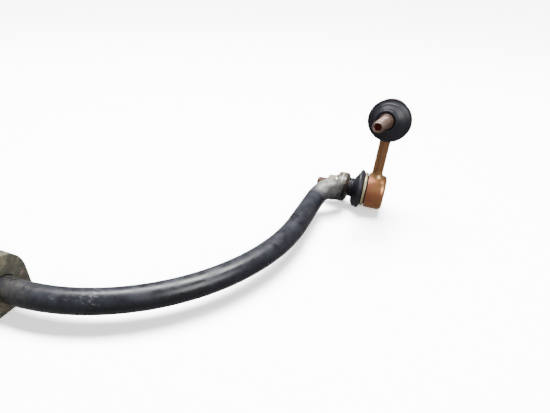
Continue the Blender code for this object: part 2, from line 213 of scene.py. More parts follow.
class Paint:
    """A Principled material whose colour, roughness and bump come from procedural nodes."""

    def __init__(self, name, roughness, metallic=0.0, specular=0.5):
        self.material = bpy.data.materials.new(name)
        self.material.use_nodes = True
        self.tree = self.material.node_tree
        self.shader = self.tree.nodes["Principled BSDF"]
        self.shader.inputs["Roughness"].default_value = roughness
        self.shader.inputs["Metallic"].default_value = metallic
        self.shader.inputs["Specular IOR Level"].default_value = specular
        self.place = self.tree.nodes.new("ShaderNodeTexCoord").outputs["Object"]

    def feed(self, value, socket):
        """Link a node's output to a socket, or set a plain number or colour on it."""
        if isinstance(value, (int, float)):
            socket.default_value = value
        elif isinstance(value, tuple):
            socket.default_value = (*value, 1.0)
        else:
            self.tree.links.new(value, socket)

    def noise(self, scale, detail=4.0, rough=0.6, stretch=None, distortion=0.0):
        """Noise from about 0.25 to 0.75; scale is in waves a metre."""
        node = self.tree.nodes.new("ShaderNodeTexNoise")
        node.inputs["Scale"].default_value = scale
        node.inputs["Detail"].default_value = detail
        node.inputs["Roughness"].default_value = rough
        node.inputs["Distortion"].default_value = distortion
        place = self.place
        if stretch:
            mapping = self.tree.nodes.new("ShaderNodeMapping")
            mapping.inputs["Scale"].default_value = stretch
            self.feed(place, mapping.inputs["Vector"])
            place = mapping.outputs["Vector"]
        self.feed(place, node.inputs["Vector"])
        return node.outputs["Fac"]

    def band(self, source, low, high, to_low=0.0, to_high=1.0):
        """Source remapped from low..high to to_low..to_high, clamped."""
        node = self.tree.nodes.new("ShaderNodeMapRange")
        node.inputs["From Min"].default_value = low
        node.inputs["From Max"].default_value = high
        node.inputs["To Min"].default_value = to_low
        node.inputs["To Max"].default_value = to_high
        self.feed(source, node.inputs["Value"])
        return node.outputs["Result"]

    def math_node(self, operation, a, b):
        """One Math node on two sockets or numbers."""
        node = self.tree.nodes.new("ShaderNodeMath")
        node.operation = operation
        self.feed(a, node.inputs[0])
        self.feed(b, node.inputs[1])
        return node.outputs["Value"]

    def times(self, a, b):
        """The product of two masks, or of a mask and a number."""
        return self.math_node("MULTIPLY", a, b)

    def upward(self):
        """How far the surface faces up, from -1 to 1."""
        geometry = self.tree.nodes.new("ShaderNodeNewGeometry")
        split = self.tree.nodes.new("ShaderNodeSeparateXYZ")
        self.feed(geometry.outputs["Normal"], split.inputs["Vector"])
        return split.outputs["Z"]

    def near(self, point, inner, outer):
        """1 within inner of a point, falling to 0 at outer."""
        node = self.tree.nodes.new("ShaderNodeVectorMath")
        node.operation = "DISTANCE"
        self.feed(self.place, node.inputs[0])
        node.inputs[1].default_value = point
        return self.band(node.outputs["Value"], inner, outer, 1.0, 0.0)

    def sheet(self, x, inner, outer):
        """1 within inner of the plane at x, falling to 0 at outer."""
        split = self.tree.nodes.new("ShaderNodeSeparateXYZ")
        self.feed(self.place, split.inputs["Vector"])
        off = self.math_node("ABSOLUTE", self.math_node("SUBTRACT", split.outputs["X"], x), 0.0)
        return self.band(off, inner, outer, 1.0, 0.0)

    def mix(self, factor, a, b):
        """Colour a where factor is 0 and b where it is 1."""
        node = self.tree.nodes.new("ShaderNodeMix")
        node.data_type = "RGBA"
        self.feed(factor, node.inputs[0])
        self.feed(a, node.inputs[6])
        self.feed(b, node.inputs[7])
        return node.outputs[2]

    def over(self, colour, mask, amount, tint):
        """Colour with tint laid over it where mask is 1, as strongly as amount."""
        return self.mix(self.times(mask, amount), colour, tint)

    def finish(self, colour, roughness=None, bump=None, depth=0.0002, strength=0.6,
               metallic=None):
        """Link the colour and whichever of the others are given; depth is the bump's height."""
        self.feed(colour, self.shader.inputs["Base Color"])
        if roughness is not None:
            self.feed(roughness, self.shader.inputs["Roughness"])
        if metallic is not None:
            self.feed(metallic, self.shader.inputs["Metallic"])
        if bump is not None:
            node = self.tree.nodes.new("ShaderNodeBump")
            node.inputs["Distance"].default_value = depth
            node.inputs["Strength"].default_value = strength
            self.feed(bump, node.inputs["Height"])
            self.feed(node.outputs["Normal"], self.shader.inputs["Normal"])
        return self.material


def bar_paint():
    """Worn black paint: dusty and painted lighter above, chipped and streaked; rusty eyes, bared
    shoulders with a painted highlight.
    """
    paint = Paint("bar_paint", 0.3)
    patches = paint.noise(28.0, 5.0, 0.62)
    streaks = paint.noise(95.0, 4.0, 0.65, stretch=(1.0, 1.0, 0.22))
    specks = paint.noise(620.0, 3.0, 0.7)
    grain = paint.noise(300.0, 4.0, 0.7)
    worn_and_highlight = paint.noise(190.0, 6.0, 0.75)
    scratches = paint.noise(420.0, 4.0, 0.6, stretch=(0.45, 1.0, 1.0))
    colour = paint.mix(
        paint.band(patches, 0.35, 0.68), (0.0050, 0.0052, 0.0085), (0.0115, 0.0120, 0.0170)
    )
    # Upward faces paler and rougher: partly dusty paint, partly painted light on the top of the
    # bar.
    dust_and_top_light = paint.times(paint.band(paint.upward(), 0.10, 1.0), paint.band(streaks, 0.36, 0.60))
    colour = paint.over(colour, dust_and_top_light, 0.30, (0.070, 0.078, 0.098))
    drips = paint.times(paint.band(streaks, 0.60, 0.70), paint.band(patches, 0.50, 0.62))
    colour = paint.over(colour, drips, 0.30, (0.130, 0.128, 0.130))
    chips = paint.times(paint.band(specks, 0.66, 0.70), paint.band(patches, 0.47, 0.60))
    colour = paint.over(colour, chips, 0.7, (0.270, 0.262, 0.255))
    # Pale patch on each eye's shoulder, where it faces up: partly bared metal, partly a painted
    # highlight.
    bare_and_highlight = paint.band(worn_and_highlight, 0.32, 0.60)
    scuffed = paint.band(scratches, 0.53, 0.60)
    grimy = paint.band(grain, 0.30, 0.60)
    rusty = paint.band(specks, 0.50, 0.64)
    dirty = paint.band(grain, 0.35, 0.62)
    for side in SIDES.values():
        eye = (side * EYE_X, EYE_Y + AXIS_Y, AXIS_Z)
        shoulder = (side * (EYE_X - 0.012), EYE_Y + AXIS_Y - 0.021, AXIS_Z + 0.013)
        scuff = (side * (STRAIGHT_HALF + 0.061), AXIS_Y + 0.010, AXIS_Z + 0.008)
        collar = (side * (STRAIGHT_HALF + 0.002), AXIS_Y, AXIS_Z)
        seam = paint.sheet(side * EYE_X, 0.0004, 0.0010)
        for point, inner, outer, mask, amount, tint in (
            # shoulder: pale bared metal and a painted highlight
            (shoulder, 0.004, 0.019, bare_and_highlight, 0.9, (0.400, 0.390, 0.360)),
            (scuff, 0.003, 0.011, scuffed, 0.4, (0.200, 0.205, 0.220)),
            (eye, 0.012, 0.019, grimy, 0.9, (0.130, 0.118, 0.082)),
            (eye, 0.009, 0.022, rusty, 0.7, (0.120, 0.052, 0.024)),
            (eye, 0.0146, 0.0156, seam, 0.8, (0.400, 0.370, 0.250)),
            (collar, 0.008, 0.030, dirty, 0.5, (0.088, 0.080, 0.066)),
        ):
            spot = paint.times(paint.near(point, inner, outer), mask)
            colour = paint.over(colour, spot, amount, tint)
    rough = paint.band(patches, 0.3, 0.7, 0.20, 0.36)
    rough = paint.math_node("ADD", rough, paint.times(dust_and_top_light, 0.18))
    height = paint.math_node("ADD", paint.noise(180.0, 4.0, 0.6), paint.times(chips, -0.5))
    return paint.finish(colour, rough, height, 0.0002, 0.28)


def bushing_rubber():
    """Dirty olive-black rubber with dried mud, a few pink smears and pale grit."""
    paint = Paint("bushing_rubber", 0.8, specular=0.3)
    blotch = paint.noise(75.0, 5.0, 0.65)
    fine = paint.noise(330.0, 5.0, 0.7)
    colour = paint.mix(
        paint.band(blotch, 0.22, 0.78), (0.040, 0.040, 0.034), (0.120, 0.115, 0.080)
    )
    mud = paint.times(paint.band(blotch, 0.52, 0.74), paint.band(fine, 0.30, 0.66))
    colour = paint.over(colour, mud, 0.75, (0.320, 0.255, 0.180))
    pink = paint.band(paint.noise(120.0, 3.0, 0.5, distortion=0.6), 0.60, 0.70)
    colour = paint.over(colour, pink, 0.5, (0.270, 0.185, 0.165))
    grit = paint.band(paint.noise(900.0, 2.0, 0.6), 0.66, 0.72)
    colour = paint.over(colour, grit, 0.5, (0.380, 0.360, 0.300))
    dark = paint.band(fine, 0.28, 0.50, 1.0, 0.0)
    colour = paint.over(colour, dark, 0.5, (0.025, 0.024, 0.022))
    rough = paint.band(blotch, 0.3, 0.7, 0.70, 0.92)
    return paint.finish(colour, rough, fine, 0.0004, 0.7)


def boot_rubber():
    """Near-black rubber, dusty and with a painted violet sheen where it faces up, with pale
    grit.
    """
    paint = Paint("boot_rubber", 0.42)
    cloud = paint.noise(110.0, 4.0, 0.6)
    fine = paint.noise(700.0, 4.0, 0.6)
    colour = paint.mix(
        paint.band(cloud, 0.35, 0.7), (0.006, 0.0065, 0.011), (0.014, 0.014, 0.022)
    )
    # Upward faces paler and violet: partly dusty rubber, partly a painted sheen.
    dust_and_top_light = paint.times(paint.band(paint.upward(), 0.0, 1.0), paint.band(fine, 0.40, 0.66))
    colour = paint.over(colour, dust_and_top_light, 0.22, (0.070, 0.068, 0.082))
    grit = paint.times(paint.band(fine, 0.66, 0.72), paint.band(cloud, 0.52, 0.62))
    colour = paint.over(colour, grit, 0.6, (0.200, 0.190, 0.170))
    rough = paint.band(cloud, 0.3, 0.7, 0.34, 0.52)
    return paint.finish(colour, rough, fine, 0.00012, 0.5)


def yellow_zinc(name, rose, gold, dull, rust_amount):
    """Chromated zinc: rose-brown and gold drifting into each other, with rust specks; downward
    faces are painted gold as the pale floor's reflection.
    """
    paint = Paint(name, 0.35, metallic=0.85)
    drift = paint.noise(48.0, 3.0, 0.5, distortion=0.8)
    cloud = paint.noise(130.0, 5.0, 0.65)
    fine = paint.noise(650.0, 4.0, 0.7)
    colour = paint.mix(paint.band(drift, 0.46, 0.74), rose, gold)
    colour = paint.over(colour, paint.band(cloud, 0.52, 0.70), 0.55, dull)
    # Painted reflection: downward faces turned gold, standing in for the pale floor's light.
    colour = paint.over(colour, paint.band(paint.upward(), -0.15, -0.85), 0.55, gold)
    rust = paint.times(paint.band(fine, 0.60, 0.68), paint.band(cloud, 0.42, 0.60))
    colour = paint.over(colour, rust, rust_amount, (0.085, 0.030, 0.012))
    rough = paint.band(cloud, 0.3, 0.7, 0.27, 0.46)
    rough = paint.math_node("ADD", rough, paint.times(rust, 0.3))
    metal = paint.band(rust, 0.0, 1.0, 0.85, 0.15)
    return paint.finish(colour, rough, fine, 0.0001, 0.4, metal)


def stud_steel():
    """Brown, rusting steel, darker and redder inside the upper studs' hexagon sockets."""
    paint = Paint("stud_steel", 0.42, metallic=0.7)
    cloud = paint.noise(150.0, 5.0, 0.65)
    fine = paint.noise(800.0, 4.0, 0.7)
    colour = paint.mix(
        paint.band(cloud, 0.36, 0.64), (0.205, 0.150, 0.125), (0.150, 0.085, 0.066)
    )
    rust = paint.times(paint.band(cloud, 0.50, 0.66), paint.band(fine, 0.38, 0.62))
    colour = paint.over(colour, rust, 0.75, (0.110, 0.042, 0.024))
    for label, side in SIDES.items():
        ball = Vector(JOINTS[label + "_stud_spin"]["pos_m"])
        axis = Vector(JOINTS[label + "_stud_spin"]["axis"]) * side
        socket = tuple(ball + axis * (STUD_END - 0.004))
        colour = paint.mix(paint.near(socket, 0.0030, 0.0046), colour, (0.150, 0.020, 0.014))
    metal = paint.band(rust, 0.0, 1.0, 0.75, 0.25)
    rough = paint.band(cloud, 0.3, 0.7, 0.36, 0.58)
    return paint.finish(colour, rough, fine, 0.0001, 0.5, metal)


def plain_metal(name, light, shade, roughness, metallic):
    """Plated or dark metal, clouded between two colours, with rust specks."""
    paint = Paint(name, roughness, metallic=metallic)
    cloud = paint.noise(160.0, 5.0, 0.65)
    fine = paint.noise(750.0, 4.0, 0.7)
    colour = paint.mix(paint.band(cloud, 0.34, 0.66), light, shade)
    rust = paint.times(paint.band(fine, 0.62, 0.70), paint.band(cloud, 0.50, 0.62))
    colour = paint.over(colour, rust, 0.6, (0.120, 0.060, 0.030))
    rough = paint.band(cloud, 0.3, 0.7, roughness - 0.08, roughness + 0.12)
    return paint.finish(colour, rough, fine, 0.00008, 0.4)


def seat_plastic():
    """Off-white plastic of the hidden ball seats."""
    paint = Paint("seat_plastic", 0.5)
    cloud = paint.noise(140.0, 4.0, 0.6)
    colour = paint.mix(paint.band(cloud, 0.3, 0.7), (0.70, 0.68, 0.60), (0.56, 0.52, 0.42))
    return paint.finish(colour, paint.band(cloud, 0.3, 0.7, 0.42, 0.6), cloud, 0.00005, 0.3)


FINISH = {
    "bar_paint": bar_paint(),
    "bushing_rubber": bushing_rubber(),
    "boot_rubber": boot_rubber(),
    "housing_zinc": yellow_zinc(
        "housing_zinc", (0.46, 0.170, 0.090), (0.52, 0.290, 0.100), (0.30, 0.120, 0.085), 0.85
    ),
    "rod_zinc": yellow_zinc(
        "rod_zinc", (0.40, 0.200, 0.095), (0.56, 0.370, 0.160), (0.24, 0.120, 0.065), 0.9
    ),
    "cap_zinc": yellow_zinc(
        "cap_zinc", (0.44, 0.270, 0.130), (0.58, 0.400, 0.170), (0.30, 0.200, 0.120), 0.8
    ),
    "stud_steel": stud_steel(),
    "nut_zinc": plain_metal("nut_zinc", (0.80, 0.74, 0.58), (0.60, 0.52, 0.33), 0.36, 0.75),
    "boot_ring_zinc": plain_metal(
        "boot_ring_zinc", (0.66, 0.60, 0.38), (0.50, 0.42, 0.24), 0.36, 0.75
    ),
    "neck_ring_steel": plain_metal(
        "neck_ring_steel", (0.06, 0.06, 0.065), (0.03, 0.03, 0.034), 0.4, 0.6
    ),
    "seat_plastic": seat_plastic(),
}


def settle(piece, body, node):
    """Ride a finished piece on its body and the CAD node that it stands for."""
    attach(piece, body)
    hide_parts(node)


# Sway bar ------------------------------------------------------------------------------


def bend(stations, radius, last, steps, rise, flattening):
    """Add stations round a bend that ends at the heading last; a radius below 0 turns right.

    rise and flattening give the new stations' values at a share of the way round.
    """
    x, y, _, first, _ = stations[-1]
    for i in range(1, steps + 1):
        share = i / steps
        angle = first + (last - first) * share
        stations.append(
            (x + radius * (sin(angle) - sin(first)), y + radius * (cos(first) - cos(angle)),
             rise(share), angle, flattening(share))
        )


def arm_line():
    """Stations (x, y, rise, heading, flattening) from the bar's middle to one eye's throat."""
    straight_steps = 12
    bend_steps = 60
    reach_steps = 8
    joggle_steps = 20
    run_steps = 5
    flat_turn = 0.3
    flat_run = 0.6
    stations = [
        (STRAIGHT_HALF * i / straight_steps, 0.0, 0.0, 0.0, 0.0)
        for i in range(straight_steps + 1)
    ]
    bend(stations, BEND_RADIUS, BEND_ANGLE, bend_steps, lambda share: 0.0, lambda share: 0.0)
    x, y, _, heading, _ = stations[-1]
    reach = JOGGLE_START - y
    for i in range(1, reach_steps + 1):
        climb = reach * i / reach_steps
        stations.append((x + climb / tan(heading), y + climb, 0.0, heading, 0.0))
    x = stations[-1][0]
    low = pi / 2 - JOGGLE_ANGLE
    turn_shift = JOGGLE_RADIUS * (sin(heading) - sin(low)) + EYE_BEND_RADIUS * (1 - sin(low))
    run = (EYE_X - x - turn_shift) / cos(low)
    bend(stations, -JOGGLE_RADIUS, low, joggle_steps,
         lambda share: JOGGLE_RISE * eased(share), lambda share: flat_turn * share)
    x, y = stations[-1][:2]
    for i in range(1, run_steps + 1):
        share = i / run_steps
        stations.append((x + run * share * cos(low), y + run * share * sin(low), JOGGLE_RISE,
                         low, flat_turn + (flat_run - flat_turn) * share))
    bend(stations, EYE_BEND_RADIUS, pi / 2, joggle_steps,
         lambda share: JOGGLE_RISE * (1 - eased(share)),
         lambda share: flat_run + (1 - flat_run) * share)
    return stations


def bar_ring(x, y, rise, heading, half_width, half_height, flat, side, sides):
    """One ring across the bar; flat (0 to 1) squares it off and opens the seam of the eye."""
    squareness = 2 + 5 * flat  # 2 gives an ellipse, 7 nearly a rectangle
    seam_depth = 0.0007
    seam_share = 0.16
    ring = []
    for i in range(sides):
        turn = 2 * pi * (i + 0.5) / sides
        across = copysign(abs(cos(turn)) ** (2 / squareness), cos(turn))
        up = copysign(abs(sin(turn)) ** (2 / squareness), sin(turn))
        seam = flat * seam_depth * max(0.0, 1 - abs(across) / seam_share) * (abs(up) > 0.5)
        across *= half_width
        up *= max(half_height - seam, half_height * 0.5)
        ring.append(
            Vector((side * (x - sin(heading) * across), y + cos(heading) * across + AXIS_Y,
                    up + rise + AXIS_Z))
        )
    return ring


def half_rings(side, sides):
    """Rings from the middle of the bar to the tip of one eye."""
    rings = []
    for x, y, rise, heading, flattening in arm_line():
        flat = eased(flattening)
        width = BAR_RADIUS + (EYE_HALF_THICKNESS - BAR_RADIUS) * flat
        height = BAR_RADIUS + (EYE_THROAT_HALF - BAR_RADIUS) * flat
        rings.append(bar_ring(x, y, rise, heading, width, height, flat, side, sides))
    tip_steps = 28
    first = radians(-35.0)
    last = radians(88.0)
    for i in range(tip_steps + 1):
        angle = first + (last - first) * i / tip_steps
        rings.append(
            bar_ring(EYE_X, EYE_Y + EYE_RADIUS * sin(angle), 0.0, pi / 2, EYE_HALF_THICKNESS,
                     EYE_RADIUS * cos(angle), 1.0, side, sides)
        )
    return rings


def make_bar():
    """The whole bar in one piece, from the tip of one eye to the other, with drilled eyes."""
    sides = 72
    drill_half = 0.02
    rings = half_rings(-1, sides)[:0:-1] + half_rings(1, sides)
    verts = [point for ring in rings for point in ring]
    bar = add_mesh("bar", verts, tube_faces(len(rings), sides), FINISH["bar_paint"])
    profile = [(0, -drill_half), (BOLT_HOLE_RADIUS, -drill_half),
               (BOLT_HOLE_RADIUS, drill_half), (0, drill_half)]
    for side in SIDES.values():
        place = along((side, 0, 0), (side * EYE_X, EYE_Y + AXIS_Y, AXIS_Z))
        drill = add_mesh("drill", *revolve(profile, 48, False), FINISH["bar_paint"], place)
        cut_with(bar, drill)
    bar.data.set_sharp_from_angle(angle=radians(40.0))
    settle(bar, "bar", "sway_bar")


def cut_with(target, tool):
    """Subtract tool from target and delete tool."""
    cut = target.modifiers.new("cut", "BOOLEAN")
    cut.operation = "DIFFERENCE"
    cut.solver = "EXACT"
    cut.object = tool
    graph = bpy.context.evaluated_depsgraph_get()
    mesh = bpy.data.meshes.new_from_object(target.evaluated_get(graph))
    target.modifiers.clear()
    target.data = mesh
    bpy.data.objects.remove(tool, do_unlink=True)


# Bushing -------------------------------------------------------------------------------


def bushing_outline(half_width, arch_centre, ground):
    """Closed (y, z) outline about the bar's axis, and how many of its points are outside.

    It runs over the arch and round the foot to the slit, then round the bore back to it.
    """
    fullness = 0.90
    slit_half = 0.0003
    foot = 0.0026
    bore = BAR_RADIUS + 0.00015
    gape = 0.0008
    arch_steps = 48
    foot_steps = 6
    bore_steps = 64
    outline = [(-half_width, slit_half)]
    for i in range(arch_steps + 1):
        angle = pi - pi * i / arch_steps
        across = copysign(abs(cos(angle)) ** fullness, cos(angle))
        up = sin(angle) ** fullness if 0 < i < arch_steps else 0.0
        outline.append((half_width * across, arch_centre + half_width * up))
    for corner, first in ((half_width - foot, 0.0), (foot - half_width, -pi / 2)):
        for i in range(foot_steps + 1):
            angle = first - pi / 2 * i / foot_steps
            outline.append((corner + foot * cos(angle), ground + foot + foot * sin(angle)))
    outline.append((-half_width, -slit_half))
    outside = len(outline)
    slit = asin(slit_half / bore)
    for i in range(bore_steps + 1):
        angle = pi + slit + (2 * pi - 2 * slit) * i / bore_steps
        opened = bore + gape * max(0.0, sin(angle))
        outline.append((opened * cos(angle), opened * sin(angle)))
    return outline, outside


def make_bushing(label):
    """Split D-shaped block with rounded rims, as wide and high as the CAD bushing's box."""
    low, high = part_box(label + "_bushing")
    half_width = (high.y - low.y) / 2
    arch_centre = high.z - half_width - AXIS_Z
    ground = low.z - AXIS_Z
    outline, outside = bushing_outline(half_width, arch_centre, ground)
    rounding = ((0.0, 0.0009), (0.0003, 0.0003), (0.0009, 0.0))
    base_inset = 0.6
    level = 0.0001
    rims = [(low.x + depth, inset) for depth, inset in rounding]
    rims += [(high.x - depth, inset) for depth, inset in reversed(rounding)]
    verts = []
    for x, inset in rims:
        for k, (y, z) in enumerate(outline):
            if 0 < k < outside - 1:
                scale = 1 - inset / half_width
                y, z = y * scale, arch_centre + (z - arch_centre) * scale
                if ground > z - level:
                    z = ground + inset * base_inset
            verts.append(Vector((x, y + AXIS_Y, z + AXIS_Z)))
    faces = tube_faces(len(rims), len(outline))
    piece = add_mesh(label + "_split_bushing", verts, faces, FINISH["bushing_rubber"],
                     angle=35.0)
    settle(piece, label + "_bushing", label + "_bushing")


# Ball joint ----------------------------------------------------------------------------


def stud_piece(name, place, body, node):
    """Ball stud with a rolled thread, a collar and a hexagon socket in its chamfered tip."""
    ball = 0.008
    socket_floor = STUD_END - 0.0055
    start = COLLAR_FACE + 0.0022
    end = STUD_END - 0.0016
    fade_in = 0.002
    fade_out = 0.0008
    groove_half = 0.42
    rings = 150
    sides = 48
    latitudes = [radians(-80 + 12 * i) for i in range(12)]
    profile = [(0.0, -ball)]
    profile += [(ball * cos(a), ball * sin(a)) for a in latitudes]
    profile += softened(
        [(0.0045, 0.0095, 0), (0.0044, 0.0160, 0.002), (0.0060, 0.0200, 0.001),
         (0.0060, 0.0222, 0.0004), (0.0065, 0.0227, 0.0003), (0.0065, COLLAR_FACE, 0.0004),
         (0.0052, COLLAR_FACE, 0.0003), (THREAD_RADIUS, start, 0)], False
    )
    profile += [(THREAD_RADIUS, start + (end - start) * i / rings) for i in range(1, rings + 1)]
    profile += [
        (0.0040, STUD_END - 0.0003), (0.0037, STUD_END), (0.0034, STUD_END - 0.0001),
        (SOCKET_CORNER, STUD_END - 0.0005), (SOCKET_CORNER, socket_floor),
        (0.0, socket_floor - 0.0008),
    ]

    def shape(radius, height, turn):
        """The thread's helix on its stretch of the stud, and the hexagon on the socket's."""
        if radius == THREAD_RADIUS:
            wave = (height / THREAD_PITCH - turn / (2 * pi)) % 1.0
            fade = min(1.0, (height - start) / fade_in, (end - height) / fade_out)
            groove = max(0.0, 1 - abs(wave - 0.5) / groove_half)
            return radius - THREAD_DEPTH * groove * max(0.0, fade), height
        if abs(radius - SOCKET_CORNER) < TINY:
            return hexagon(turn, SOCKET_CORNER), height
        return radius, height

    verts, faces = revolve(profile, sides, False, shape)
    piece = add_mesh(name, verts, faces, FINISH["stud_steel"], place, angle=50.0)
    settle(piece, body, node)


def housing_piece(name, place, body, node, outside):
    """Pressed cup: rolled rear edge over the cap, flat front with a neck for the boot."""
    bore = 0.0123
    mouth = 0.0102
    neck = 0.0136
    neck_end = 0.0098
    cap_seat = -0.0085
    profile = softened(
        [(neck, neck_end, 0.0003), (neck, HOUSING_FRONT, 0.0004),
         (outside, HOUSING_FRONT, 0.0007), (outside, HOUSING_BACK + 0.0038, 0.0016),
         (outside - 0.0007, HOUSING_BACK + 0.0015, 0.0012),
         (outside - 0.0022, HOUSING_BACK + 0.0003, 0.0008), (0.0128, HOUSING_BACK, 0.0004),
         (0.0126, HOUSING_BACK + 0.0001, 0), (0.0126, HOUSING_BACK + 0.0008, 0.0002),
         (0.0138, HOUSING_BACK + 0.0010, 0.0001), (0.0138, cap_seat, 0), (bore, cap_seat, 0),
         (bore, 0.0047, 0), (mouth, 0.0050, 0), (mouth, neck_end, 0.0003)], True
    )
    verts, faces = revolve(profile, ROUND_SIDES, True)
    piece = add_mesh(name, verts, faces, FINISH["housing_zinc"], place, angle=30.0)
    settle(piece, body, node)


def cap_piece(name, place, body, node):
    """Pressed closing cap with a shallow dish and a raised centre."""
    front = -0.0088
    back = HOUSING_BACK + 0.0010
    dish = back + 0.0007
    centre = back + 0.0001
    profile = softened(
        [(0.0, front, 0), (0.0136, front, 0.0002), (0.0136, back, 0.0002),
         (0.0100, back, 0.0006), (0.0085, dish, 0.0006), (0.0035, dish, 0.0006),
         (0.0022, centre, 0.0006), (0.0, centre, 0)], False
    )
    verts, faces = revolve(profile, 72, False)
    piece = add_mesh(name, verts, faces, FINISH["cap_zinc"], place, angle=30.0)
    settle(piece, body, node)


def boot_ring_piece(name, place, body, node):
    """Rounded metal band that clamps the boot's wide end to the housing."""
    profile = softened(
        [(0.0154, 0.0076, 0.0002), (0.0166, 0.0076, 0.0006), (0.0169, 0.0088, 0.0008),
         (0.0166, 0.0101, 0.0006), (0.0154, 0.0101, 0.0002)], True
    )
    verts, faces = revolve(profile, ROUND_SIDES, True)
    piece = add_mesh(name, verts, faces, FINISH["boot_ring_zinc"], place)
    settle(piece, body, node)


def neck_ring_piece(name, place, body, node):
    """Round wire of two turns that grips the boot's neck."""
    wire = 0.00042
    coil_radius = 0.0092
    coil_start = 0.02062
    coils = 2.0
    steps = 144
    sides = 10
    verts = []
    for i in range(steps + 1):
        turn = 2 * pi * coils * i / steps
        height = coil_start + 2 * wire * coils * i / steps
        for k in range(sides):
            roll = 2 * pi * k / sides
            radius = coil_radius + wire * cos(roll)
            verts.append(
                Vector((radius * cos(turn), radius * sin(turn), height + wire * sin(roll)))
            )
    faces = tube_faces(steps + 1, sides)
    piece = add_mesh(name, verts, faces, FINISH["neck_ring_steel"], place)
    settle(piece, body, node)


def boot_pieces(tag, hold, stud_place, link, node, sag):
    """Rubber bellows as a rim and a neck, each leaning from the housing's axis towards the
    stud's.

    A profile row is radius and height, the same two where the rubber sags, and the rounding.
    """
    rim = [
        (0.0152, 0.0068, 0.0152, 0.0068, 0), (0.0152, 0.0102, 0.0152, 0.0102, 0.0005),
        (0.0172, 0.0108, 0.0172, 0.0108, 0.0006), (0.0185, 0.0124, 0.0190, 0.0120, 0.0005),
        (0.0189, 0.0134, 0.0196, 0.0133, 0.0005), (0.0186, 0.0144, 0.0195, 0.0144, 0.0004),
        (0.0176, 0.0142, 0.0192, 0.0147, 0.0006), (0.0164, 0.0147, 0.0190, 0.0149, 0.0008),
        (0.0150, 0.0156, 0.0190, 0.0152, 0), (0.0141, 0.0147, 0.0177, 0.0142, 0),
        (0.0160, 0.0136, 0.0178, 0.0137, 0.001), (0.0174, 0.0131, 0.0179, 0.0131, 0.0004),
        (0.0174, 0.0126, 0.0179, 0.0126, 0.0004), (0.0160, 0.0116, 0.0160, 0.0116, 0.0005),
        (0.0139, 0.0110, 0.0139, 0.0110, 0.0004), (0.0139, 0.0068, 0.0139, 0.0068, 0),
    ]
    neck = [
        (0.0141, 0.0147, 0.0177, 0.0142, 0), (0.0150, 0.0156, 0.0190, 0.0152, 0),
        (0.0146, 0.0162, 0.0192, 0.0166, 0.0003), (0.0134, 0.0167, 0.0187, 0.0184, 0.0006),
        (0.0118, 0.0178, 0.0168, 0.0201, 0.0010), (0.0103, 0.0189, 0.0130, 0.0212, 0.0006),
        (0.0089, 0.0194, 0.0094, 0.0213, 0.0004), (0.0087, 0.0198, 0.0088, 0.0216, 0.0003),
        (0.0087, 0.0226, 0.0087, 0.0226, 0.0003), (0.0094, 0.0230, 0.0094, 0.0230, 0.0004),
        (0.0093, 0.0237, 0.0093, 0.0237, 0.0005), (0.0080, 0.0239, 0.0080, 0.0239, 0.0004),
        (0.0074, 0.0234, 0.0074, 0.0234, 0.0003), (0.0071, 0.0228, 0.0071, 0.0228, 0.0002),
        (0.0067, 0.0219, 0.0067, 0.0219, 0.0002), (0.0067, 0.0203, 0.0067, 0.0205, 0.0004),
        (0.0105, 0.0180, 0.0122, 0.0202, 0.0004), (0.0136, 0.0158, 0.0168, 0.0180, 0.0004),
    ]
    foot = 0.0105
    top = 0.0192
    centre = hold.translation
    hold_axis = hold.to_3x3() @ Vector((0, 0, 1))
    stud_axis = stud_place.to_3x3() @ Vector((0, 0, 1))
    upright = hold_axis.rotation_difference(stud_axis)
    stretches = (
        ("_boot_rim", rim, link, tag + "_boot", hold_axis, 0.0106, 0.0140),
        ("_boot_neck", neck, tag + "_boot", tag + "_neck_ring", stud_axis, 0.0163, 0.0187),
    )
    for ending, rows, body_a, body_b, axis, low, high in stretches:
        slim = softened([(row[0], row[1], row[4]) for row in rows], True)
        full = softened([(row[2], row[3], row[4]) for row in rows], True)
        verts, faces = revolve(slim, ROUND_SIDES, True)
        for i, vert in enumerate(verts):
            thin, thick = slim[i // ROUND_SIDES], full[i // ROUND_SIDES]
            outward = vert.xy.normalized()
            down = -(hold.to_3x3() @ Vector((*outward, 0.0))).z
            share = sag * max(0.0, down) ** 1.5
            radius = thin[0] * (1 - share) + thick[0] * share
            height = thin[1] * (1 - share) + thick[1] * share
            amount = max(0.0, min(1.0, (height - foot) / (top - foot)))
            place = leaning(hold, upright, amount, centre)
            vert.xyz = place @ Vector((*(outward * radius), height))
        piece = add_mesh(tag + ending, verts, faces, FINISH["boot_rubber"], angle=50.0)
        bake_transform(piece)
        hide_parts(node)


def leaning(hold, upright, amount, centre):
    """Hold's frame turned by a share of the rotation upright about centre."""
    turn = Matrix.Identity(3).to_quaternion().slerp(upright, amount)
    return Matrix.Translation(centre) @ turn.to_matrix().to_4x4() @ hold.to_3x3().to_4x4()


# Link ----------------------------------------------------------------------------------


def rod_piece(name, link_frame, length, body, node):
    """Round rod whose flared feet are welded onto the two housings."""
    sides = 48
    rod = 0.0049
    flare = 0.0022
    foot = 0.0042
    sunk = 0.0006
    foot_steps = 8
    rod_steps = 12
    flared = []
    for i in range(foot_steps + 1):
        t = i / foot_steps
        flared.append((HOUSING_RADIUS - sunk + foot * t, rod + flare * (1 - t) ** 2.2, 1 - t))
    first = HOUSING_RADIUS + foot
    stations = list(flared)
    for i in range(1, rod_steps):
        stations.append((first + (length - 2 * first) * i / rod_steps, rod, 0.0))
    stations += [(length - height, radius, -hug) for height, radius, hug in reversed(flared)]
    verts = []
    for height, radius, hug in stations:
        for i in range(sides):
            turn = 2 * pi * i / sides
            x, y = radius * cos(turn), radius * sin(turn)
            across = y if hug > 0 else x
            drop = HOUSING_RADIUS - (HOUSING_RADIUS ** 2 - across ** 2) ** 0.5
            verts.append(Vector((x, y, height - drop * hug)))
    faces = tube_faces(len(stations), sides)
    piece = add_mesh(name, verts, faces, FINISH["rod_zinc"], link_frame, angle=60.0)
    settle(piece, body, node)


